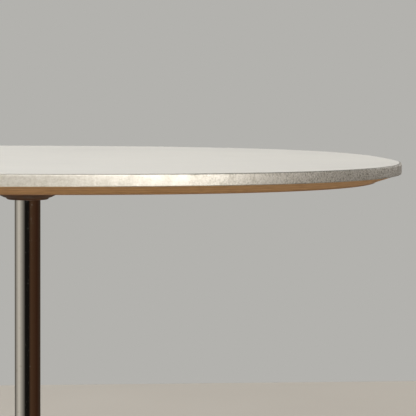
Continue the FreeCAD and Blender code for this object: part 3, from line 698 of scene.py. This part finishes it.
def add_barb(thick, depth, inside):
    """Draw a rib out of the middle of the upright inner faces."""
    middle = (TOP + BAND_FOOT) / 2
    for height in (middle - thick / 2, middle + thick / 2):
        pick("FACE", upright_between(BAND_FOOT, TOP, inside))
        bpy.ops.mesh.bisect(plane_co=(0, 0, height * MM), plane_no=(0, 0, 1))
    pick("FACE", upright_between(middle - thick / 2, middle + thick / 2, inside))
    bpy.ops.mesh.extrude_region_shrink_fatten(
        TRANSFORM_OT_shrink_fatten={"value": depth * MM})


def cut_joint(gap):
    """Part the band at +X, where its two ends meet."""
    for side in (-1, 1):
        pick("FACE", lambda f: f.calc_center_median().x > 0
             and abs(f.calc_center_median().y) < 10 * MM)
        bpy.ops.mesh.bisect(plane_co=(0, side * gap / 2 * MM, 0), plane_no=(0, 1, 0))
    pick("FACE", lambda f: f.calc_center_median().x > 0
         and abs(f.calc_center_median().y) < gap / 2 * MM)
    bpy.ops.mesh.delete(type="FACE")
    pick_all("EDGE")
    bpy.ops.mesh.fill_holes(sides=0)


def make_board():
    """The board: full outline behind the band, then a straight bevel to the underside."""
    piece = supercircle_disc("board_bevelled", CORE_HALF - 0.02, LAMINATE_FOOT, BOARD_POINTS)
    edit(piece)
    pick_all()
    extrude_down(LAMINATE_FOOT - BAND_FOOT)
    pick("FACE", level_face(BAND_FOOT))
    bpy.ops.mesh.inset(thickness=(CORE_HALF - BACKING_HALF) * MM, depth=0)
    bpy.ops.transform.translate(value=(0, 0, -(BAND_FOOT - CORE_FOOT) * MM))
    pick_all()
    bpy.ops.mesh.normals_make_consistent(inside=False)
    add_barb(BARB_THICK + 0.2, -(BARB_DEPTH + 0.2), TOP_HALF)
    close_up()
    smooth(piece, 12)
    add_piece(piece, "board_wood", FRAME_BODY, "core_board")


# ---------------------------------------------------------------- flange and column

def make_column():
    bore = COLUMN_RAD - TUBE_WALL
    piece = turned("column_tube_plated", [
        (bore, COLUMN_FOOT), (COLUMN_RAD, COLUMN_FOOT), (COLUMN_RAD, COLUMN_TOP),
        (bore, COLUMN_TOP)], steps=160)
    round_edges(piece, 0.4)
    add_piece(piece, "column_chrome", FRAME_BODY, "column_tube")


def make_flange():
    """The dished casting: a turned foot ring, then a flank that opens in three soft steps."""
    z = FLANGE_FOOT
    rim = FLANGE_TOP - FLANGE_RIM_THICK
    piece = turned("mounting_flange_cast", [
        (COLUMN_RAD, z), (24.4, z), (25.8, z + 0.9), (27.2, z + 2.6), (29.0, z + 2.7),
        (36.0, z + 6.1), (36.8, z + 7.0),
        (46.5, z + 11.9), (47.5, z + 12.6), (73.5, z + 25.7), (75.5, rim),
        (FLANGE_RAD - 0.8, rim), (FLANGE_RAD, rim + 0.8), (FLANGE_RAD, FLANGE_TOP),
        (73, FLANGE_TOP), (24, z + 4), (21, z + 4), (21, FLANGE_WEB_TOP),
        (ROD_RAD, FLANGE_WEB_TOP), (ROD_RAD, z + 12), (COLUMN_RAD, z + 12)], steps=128)
    round_edges(piece, 0.6, segments=2, angle=20)
    add_piece(piece, "flange_enamel", FRAME_BODY, "mounting_flange")


def make_flange_screws():
    """Pan-head wood screws with crossed recesses, threads into the board."""
    rim = FLANGE_TOP - FLANGE_RIM_THICK
    head = turned("head", [(0, rim - 3), (2.8, rim - 2.9), (4.3, rim - 2.2), (5, rim - 1),
                           (5, rim), (2.2, rim), (2.2, rim + 1), (0, rim + 1)],
                  steps=48, closed=False)
    for half_x, half_y in ((2.5, 0.5), (0.5, 2.5)):
        combine(head, block("slot", (-half_x, -half_y, rim - 4), (half_x, half_y, rim - 1.4)),
                "DIFFERENCE")
    smooth(head, 25)
    shank = threaded("shank", WOOD_SCREW_RAD, 2.0, rim + 0.2, rim + 14)
    smooth(shank, 40)
    ring = [(WOOD_SCREW_RING, 360 / WOOD_SCREWS * k) for k in range(WOOD_SCREWS)]
    piece = stand([head, shank], "flange_screws_cross", ring)
    add_piece(piece, "steel_zinc", FRAME_BODY, "flange_screws")


# ---------------------------------------------------------------- the foot

def make_tie_rod():
    piece = threaded("tie_rod_threaded", ROD_RAD, ROD_PITCH, low("tie_rod"), high("tie_rod"),
                     steps=16)
    smooth(piece, 40)
    add_piece(piece, "steel_zinc", FRAME_BODY, "tie_rod")


def make_nuts():
    for node in ("top_nut", "bottom_nut"):
        piece = hexagon_bar(node + "_hex", NUT_FLATS, low(node), high(node))
        bore = rod_blank("bore", ROD_RAD + 0.02, low(node) - 1, high(node) + 1)
        combine(piece, bore, "DIFFERENCE")
        round_edges(piece, 0.25, segments=2, angle=20)
        add_piece(piece, "steel_zinc", FRAME_BODY, node)


def make_washers():
    for node in ("top_washer", "bottom_washer"):
        wide = reach(node)
        piece = turned(node + "_pressed", [
            (ROD_HOLE_RAD, low(node)), (wide, low(node)), (wide, high(node)),
            (ROD_HOLE_RAD, high(node))])
        round_edges(piece, 0.35)
        add_piece(piece, "steel_zinc", FRAME_BODY, node)


def make_hub():
    """The trumpet: a flared casting with four slots that the arms' roots fill."""
    flare = HUB_RAD - HUB_COLLAR
    top_of_flare = HUB_TOP - 4
    piece = turned("base_hub_flared", [
        (ROD_HOLE_RAD, HUB_FOOT), (HUB_RAD, HUB_FOOT),
        *arc((HUB_RAD, top_of_flare), flare, 270, 180, 16),
        (HUB_COLLAR, HUB_TOP), (COLUMN_RAD, HUB_TOP), (COLUMN_RAD, HUB_SOCKET),
        (ROD_HOLE_RAD, HUB_SOCKET)], steps=128)
    for k in range(2):
        cutter = block("slot", (-60, -SLOT_HALF_WIDTH, HUB_FOOT - 4),
                       (60, SLOT_HALF_WIDTH, ARM_HIGH + 0.2))
        edit(cutter)
        pick("EDGE", lambda e: all(v.co.z > ARM_HIGH * MM for v in e.verts)
             and abs(e.verts[0].co.y - e.verts[1].co.y) < 1 * MM)
        bpy.ops.mesh.bevel(offset=(ARM_ROUND + 0.2) * MM, segments=6, affect="EDGES")
        close_up()
        cutter.rotation_euler.z = math.radians(FOOT_TURN + 90 * k)
        combine(piece, settle(cutter, "slot"), "DIFFERENCE")
    round_edges(piece, 1.0, angle=35)
    add_piece(piece, "foot_aluminium", FRAME_BODY, "base_hub")


def make_base_plate():
    piece = turned("base_plate_turned", [
        (ROD_HOLE_RAD, PLATE_FOOT), (HUB_RAD, PLATE_FOOT), (HUB_RAD, HUB_FOOT),
        (ROD_HOLE_RAD, HUB_FOOT)], steps=128)
    round_edges(piece, 0.6)
    add_piece(piece, "steel_zinc", FRAME_BODY, "base_plate")


def along_arm(x, root, middle, tip):
    """A dimension that runs smoothly from the arm's root past its middle to its tip."""
    start, stop = HUB_RAD, ARM_REACH + 12
    t = min(max((x - start) / (stop - start), 0), 1)
    m = ((start + ARM_REACH) / 2 - start) / (stop - start)
    return (root * (t - m) * (t - 1) / m + middle * t * (t - 1) / (m * (m - 1))
            + tip * t * (t - m) / (1 - m))


def make_arms():
    """One cast arm, bevelled, hollowed from below and bossed; then its three copies."""
    height = ARM_HIGH - HUB_FOOT
    tip_rad = ARM_HALF_WIDTHS[2]
    arm = rod_blank("arm", tip_rad, HUB_FOOT, ARM_HIGH, sides=64, along=ARM_REACH)
    edit(arm)
    pick_all()
    bpy.ops.mesh.bisect(plane_co=(ARM_REACH * MM, 0, 0), plane_no=(1, 0, 0),
                        use_fill=True, clear_inner=True)
    pick("FACE", lambda f: f.normal.x < -0.9 and len(f.verts) < 8
         and f.calc_center_median().x / MM < ARM_REACH + 0.1)
    bpy.ops.mesh.extrude_region_move(
        TRANSFORM_OT_translate={"value": ((ARM_ROOT - ARM_REACH) * MM, 0, 0)})
    for k in range(ARM_CUTS):
        pick_all()
        bpy.ops.mesh.bisect(plane_co=((HUB_RAD + ARM_CUT_GAP * k) * MM, 0, 0),
                            plane_no=(1, 0, 0))
    pick_all("VERT")
    bpy.ops.mesh.remove_doubles(threshold=0.01 * MM)
    bpy.ops.mesh.normals_make_consistent(inside=False)
    hollow_from_below(height)

    def rim(edge):
        """Whether an edge runs round the arm's sides and tip, and not across its root."""
        return (len(edge.link_faces) == 2 and edge.calc_face_angle(0) > 0.8
                and all(v.co.x / MM > ARM_ROOT + 1
                        or edge.verts[0].co.x != edge.verts[1].co.x for v in edge.verts))

    pick("EDGE", lambda e: rim(e) and all(v.co.z / MM > ARM_HIGH - 0.1 for v in e.verts))
    bpy.ops.mesh.bevel(offset=ARM_ROUND * MM, segments=6, profile=0.5, affect="EDGES")
    pick("EDGE", lambda e: rim(e) and all(v.co.z / MM < HUB_FOOT + 0.1 for v in e.verts))
    bpy.ops.mesh.bevel(offset=1.0 * MM, segments=3, profile=0.5, affect="EDGES")
    close_up()
    for vertex in arm.data.vertices:
        x, y, z = vertex.co / MM
        half = along_arm(x, *ARM_HALF_WIDTHS)
        top = along_arm(x, *ARM_TOPS)
        foot = along_arm(x, *ARM_FEET)
        blend = (z - HUB_FOOT) / height
        upper = top - (ARM_HIGH - z)
        lower = foot + (z - HUB_FOOT)
        vertex.co.y = y * half / tip_rad * MM
        vertex.co.z = (upper if blend > 0.5 else lower) * MM
    boss = rod_blank("boss", BOSS_RAD, BOSS_FOOT, BOSS_TOP, along=ARM_REACH)
    combine(arm, boss, "UNION")
    bore = rod_blank("bore", SLEEVE_RAD, BOSS_FOOT - 2, SLEEVE_TOP, along=ARM_REACH)
    combine(arm, bore, "DIFFERENCE")
    for along in ARM_SCREWS:
        hole = rod_blank("hole", ARM_SCREW_RAD, HUB_FOOT - 2, HUB_FOOT + 18, along=along)
        combine(arm, hole, "DIFFERENCE")
    smooth(arm, 35)
    for foot in (2, 3, 4, 1):
        turn_copy(arm, foot)
    bpy.data.objects.remove(arm)


def turn_copy(arm, foot):
    """A copy of the arm with its own mesh, turned to its place round the column."""
    copy = arm.copy()
    copy.data = arm.data.copy()
    bpy.context.scene.collection.objects.link(copy)
    copy.rotation_euler.z = math.radians(FOOT_TURN + 90 * (foot - 1))
    settle(copy, f"base_arm_{foot}_polished")
    add_piece(copy, "foot_aluminium", FRAME_BODY, f"base_arm_{foot}")


def hollow_from_below(height):
    """Press a channel into the underside, leaving a wall all round."""
    pick("FACE", lambda f: f.normal.z < -0.9
         and 60 < f.calc_center_median().x / MM < ARM_REACH - 12)
    bpy.ops.mesh.inset(thickness=ARM_WALL * MM, depth=0)
    bpy.ops.mesh.extrude_region_move(
        TRANSFORM_OT_translate={"value": (0, 0, (height - ARM_WALL - 0.5) * MM)})
    bpy.ops.transform.resize(value=(0.985, 0.8, 1.0))


def make_arm_screws():
    """Socket-head screws: knurled heads with hexagon sockets."""
    head_foot = low("arm_screws")
    head = rod_blank("head", ARM_SCREW_HEAD_RAD, head_foot, PLATE_FOOT, sides=72)
    edit(head)
    pick("FACE", lambda f: abs(f.normal.z) < 0.1 and int(
        (math.degrees(math.atan2(*f.calc_center_median().yx)) + 360) / 5) % 2)
    bpy.ops.mesh.inset(thickness=0.08 * MM, depth=-0.12 * MM, use_individual=True)
    close_up()
    socket = rod_blank("socket", ARM_SCREW_SOCKET / math.sqrt(3), head_foot - 1,
                       head_foot + 4, sides=6)
    combine(head, socket, "DIFFERENCE")
    round_edges(head, 0.15, segments=2, angle=50)
    shank = threaded("shank", ARM_SCREW_RAD, STEM_PITCH, PLATE_FOOT - 0.5,
                     high("arm_screws"))
    smooth(shank, 40)
    ring = [(along, FOOT_TURN + 90 * k) for k in range(4) for along in ARM_SCREWS]
    piece = stand([head, shank], "arm_screws_socket", ring)
    add_piece(piece, "steel_zinc", FRAME_BODY, "arm_screws")


def foot_places():
    return [(ARM_REACH, FOOT_TURN + 90 * (foot - 1)) for foot in FEET]


def make_sleeves():
    """Brass sleeves pressed into the bosses."""
    sleeve = turned("sleeve", [(STEM_RAD + 0.05, BOSS_FOOT), (SLEEVE_RAD, BOSS_FOOT),
                               (SLEEVE_RAD, SLEEVE_TOP), (STEM_RAD + 0.05, SLEEVE_TOP)],
                    steps=64)
    round_edges(sleeve, 0.4, segments=2)
    piece = stand([sleeve], "foot_sleeves_turned", foot_places())
    add_piece(piece, "sleeve_brass", FRAME_BODY, "foot_inserts")


def make_glides():
    """Levelling glides: a ball stem with a spanner hexagon, and a pad on each ball."""
    for foot, place in zip(FEET, foot_places()):
        neck_foot = math.degrees(math.acos(NECK_RAD / BALL_RAD))
        ball = turned("ball", arc((0, BALL_HEIGHT), BALL_RAD, -90, neck_foot, 20)
                      + [(NECK_RAD, HEX_FOOT + 0.5), (0, HEX_FOOT + 0.5)],
                      steps=48, closed=False)
        smooth(ball, 30)
        nut = hexagon_bar("nut", STEM_FLATS, HEX_FOOT, BOSS_FOOT, chamfer=0.8)
        round_edges(nut, 0.2, segments=2, angle=20)
        shank = threaded("shank", STEM_RAD, STEM_PITCH, BOSS_FOOT - 0.5, STEM_TOP)
        smooth(shank, 40)
        stem = stand([ball, nut, shank], f"glide_stem_{foot}_threaded", [place])
        add_piece(stem, "steel_zinc", f"stem_{foot}", f"glide_stem_{foot}")
        pad = stand([make_pad()], f"glide_pad_{foot}_moulded", [place])
        add_piece(pad, "pad_nylon", f"pad_{foot}", f"glide_pad_{foot}")


def make_pad():
    """A domed disc, relieved below, with a lip round the ball's seat."""
    seat = BALL_RAD + 0.1
    mouth = math.degrees(math.asin((PAD_TOP - BALL_HEIGHT) / seat))
    pad = turned("pad", [
        (0, 0.6), (PAD_RAD - 3.5, 0.6), (PAD_RAD - 3.0, 0), (PAD_RAD - 1, 0),
        (PAD_RAD, 1), (PAD_RAD, 3),
        (PAD_RAD - 1.2, 3.4), (PAD_RAD - 3.5, 5.0), (PAD_RAD - 5.5, 7.1),
        (PAD_RAD - 7, PAD_TOP), *arc((0, BALL_HEIGHT), seat, mouth, -90, 16)],
        steps=72, closed=False)
    round_edges(pad, 0.25, segments=2, angle=25)
    return pad


# ---------------------------------------------------------------- studio

def make_floor():
    """A pale floor whose far edge lies where a wall would stand. Metals don't mirror it."""
    deselect()
    far_edge = 2.6
    bpy.ops.mesh.primitive_plane_add(size=20, location=(0, far_edge - 10, 0))
    floor = bpy.context.object
    floor.name = "studio_floor"
    m, t, p = begin("pale_floor")
    tone = add(t, "TexNoise", {"Vector": p, "Scale": per(900), "Detail": 3})
    colour = add(t, "ValToRGB", {"Fac": tone}, stops=[(0.3, "b9b2a8"), (0.7, "bfb8ae")])
    floor.data.materials.append(end(m, Base_Color=colour, Roughness=0.6))
    floor.visible_glossy = False


def make_world():
    """Soft studio surroundings: dim walls with one tall soft window ahead on the right.

    Below the horizon stand a pale reflector on the left, black cloth ahead and brown boards
    on the right, over a floor with the window's light on it. Places on the ramps are turns
    round the table: 0.25 is towards -X, 0.5 towards -Y and 0.75 towards +X.
    """
    world = bpy.data.worlds.new("soft_studio")
    bpy.context.scene.world = world
    world.use_nodes = True
    t = world.node_tree
    t.nodes.clear()
    way = add(t, "TexCoord", out="Generated")
    east = add(t, "SeparateXYZ", {"Vector": way}, out="X")
    north = add(t, "SeparateXYZ", {"Vector": way}, out="Y")
    rise = add(t, "SeparateXYZ", {"Vector": way}, out="Z")
    south = add(t, "Math", {0: north, 1: -1.0}, operation="MULTIPLY")
    turn = add(t, "Math", {0: east, 1: south}, operation="ARCTAN2")
    turn = add(t, "Math", {0: turn, 1: 1 / (2 * math.pi), 2: 0.5}, operation="MULTIPLY_ADD")
    walls = add(t, "ValToRGB", {"Fac": turn}, stops=[
        (0.0, 0.05), (0.40, 0.06), (0.46, 0.07), (0.51, 0.16), (0.56, 0.90), (0.59, 0.90),
        (0.62, 0.26), (0.76, 0.10), (0.86, 0.17), (0.94, 0.17), (0.96, 0.03), (1.0, 0.05)])
    walls = add(t, "Mix", {0: 1.0, 6: walls, 7: (6.0, 5.9, 5.8, 1.0)}, out=2,
                data_type="RGBA", blend_type="MULTIPLY")
    room = add(t, "ValToRGB", {"Fac": turn}, stops=[
        (0.10, "605c56"), (0.27, "d8d4cc"), (0.44, "181614"), (0.53, "181614"),
        (0.58, "503a2a"), (0.75, "3a2418"), (0.92, "40362e"), (0.97, "807c76")])
    floor = add(t, "ValToRGB", {"Fac": turn}, stops=[
        (0.40, 0.2), (0.47, 0.95), (0.57, 0.95), (0.64, 0.15)])
    floor = add(t, "Mix", {0: 1.0, 6: floor, 7: (1.8, 1.7, 1.5, 1.0)}, out=2,
                data_type="RGBA", blend_type="MULTIPLY")
    fall = add(t, "Math", {0: rise, 1: -1.0}, operation="MULTIPLY")
    near = add(t, "ValToRGB", {"Fac": fall}, stops=[(0.19, 0.0), (0.30, 1.0)])
    below = add(t, "Mix", {0: near, 6: room, 7: floor}, out=2, data_type="RGBA")
    half = add(t, "Math", {0: rise, 1: 0.5, 2: 0.5}, operation="MULTIPLY_ADD")
    horizon = add(t, "ValToRGB", {"Fac": half}, stops=[(0.486, 0.0), (0.496, 1.0)])
    seen = add(t, "Mix", {0: horizon, 6: below, 7: walls}, out=2, data_type="RGBA")
    sill = add(t, "ValToRGB", {"Fac": rise}, stops=[(0.28, 0.0), (0.40, 1.0)])
    sky = add(t, "ValToRGB", {"Fac": turn}, stops=[
        (0.30, 0.24), (0.46, 0.24), (0.50, 0.50), (0.52, 0.95), (0.585, 0.95), (0.64, 0.03),
        (0.90, 0.02), (0.98, 0.22)])
    sky = add(t, "Mix", {0: 1.0, 6: sky, 7: (3.5, 3.48, 3.4, 1.0)}, out=2,
              data_type="RGBA", blend_type="MULTIPLY")
    seen = add(t, "Mix", {0: sill, 6: seen, 7: sky}, out=2, data_type="RGBA")
    studio = add(t, "Background", {"Color": seen})
    plain = add(t, "Background", {"Color": "b3b2ae"})
    camera_sees = add(t, "LightPath", out="Is Camera Ray")
    mixed = add(t, "MixShader", {0: camera_sees, 1: studio, 2: plain})
    add(t, "OutputWorld", {"Surface": mixed})


def make_lights():
    """One large soft light high on the left."""
    deselect()
    bpy.ops.object.light_add(type="AREA", location=(-1.6, -1.2, 2.6))
    light = bpy.context.object
    light.name = "soft_light"
    light.data.shape = "DISK"
    light.data.size = 1.8
    light.data.energy = 25
    aim = Vector((0, 0, 0.6)) - light.location
    light.rotation_euler = aim.to_track_quat("-Z", "Y").to_euler()


def make_camera():
    """Almost level with the top, a long lens, looking a little right of the column."""
    half = TOP_HALF * MM
    camera = bpy.data.objects.new("camera", bpy.data.cameras.new("camera"))
    bpy.context.scene.collection.objects.link(camera)
    camera.data.sensor_width = 36
    camera.data.lens = 152.4
    camera.data.clip_end = 100
    turn_right, tilt_down, roll = 0.1023, 0.0659, 0.0064
    place = Matrix.Translation((0, -4.862 * half, TOP * MM + 0.1817 * half))
    camera.matrix_world = (
        place @ Matrix.Rotation(-turn_right, 4, "Z")
        @ Matrix.Rotation(math.pi / 2 - tilt_down, 4, "X") @ Matrix.Rotation(roll, 4, "Z"))
    bpy.context.scene.camera = camera


# ---------------------------------------------------------------- the table

bpy.context.scene.view_settings.view_transform = "Standard"
make_camera()
make_world()
make_lights()
make_floor()
for subpart in frame["record"]["subparts"]:
    dress(frame["nodes"][subpart["node"]], subpart["material_slot"])
make_laminate()
make_edge_band()
make_board()
make_flange()
make_flange_screws()
make_column()
make_tie_rod()
make_nuts()
make_washers()
make_hub()
make_base_plate()
make_arms()
make_arm_screws()
make_sleeves()
make_glides()
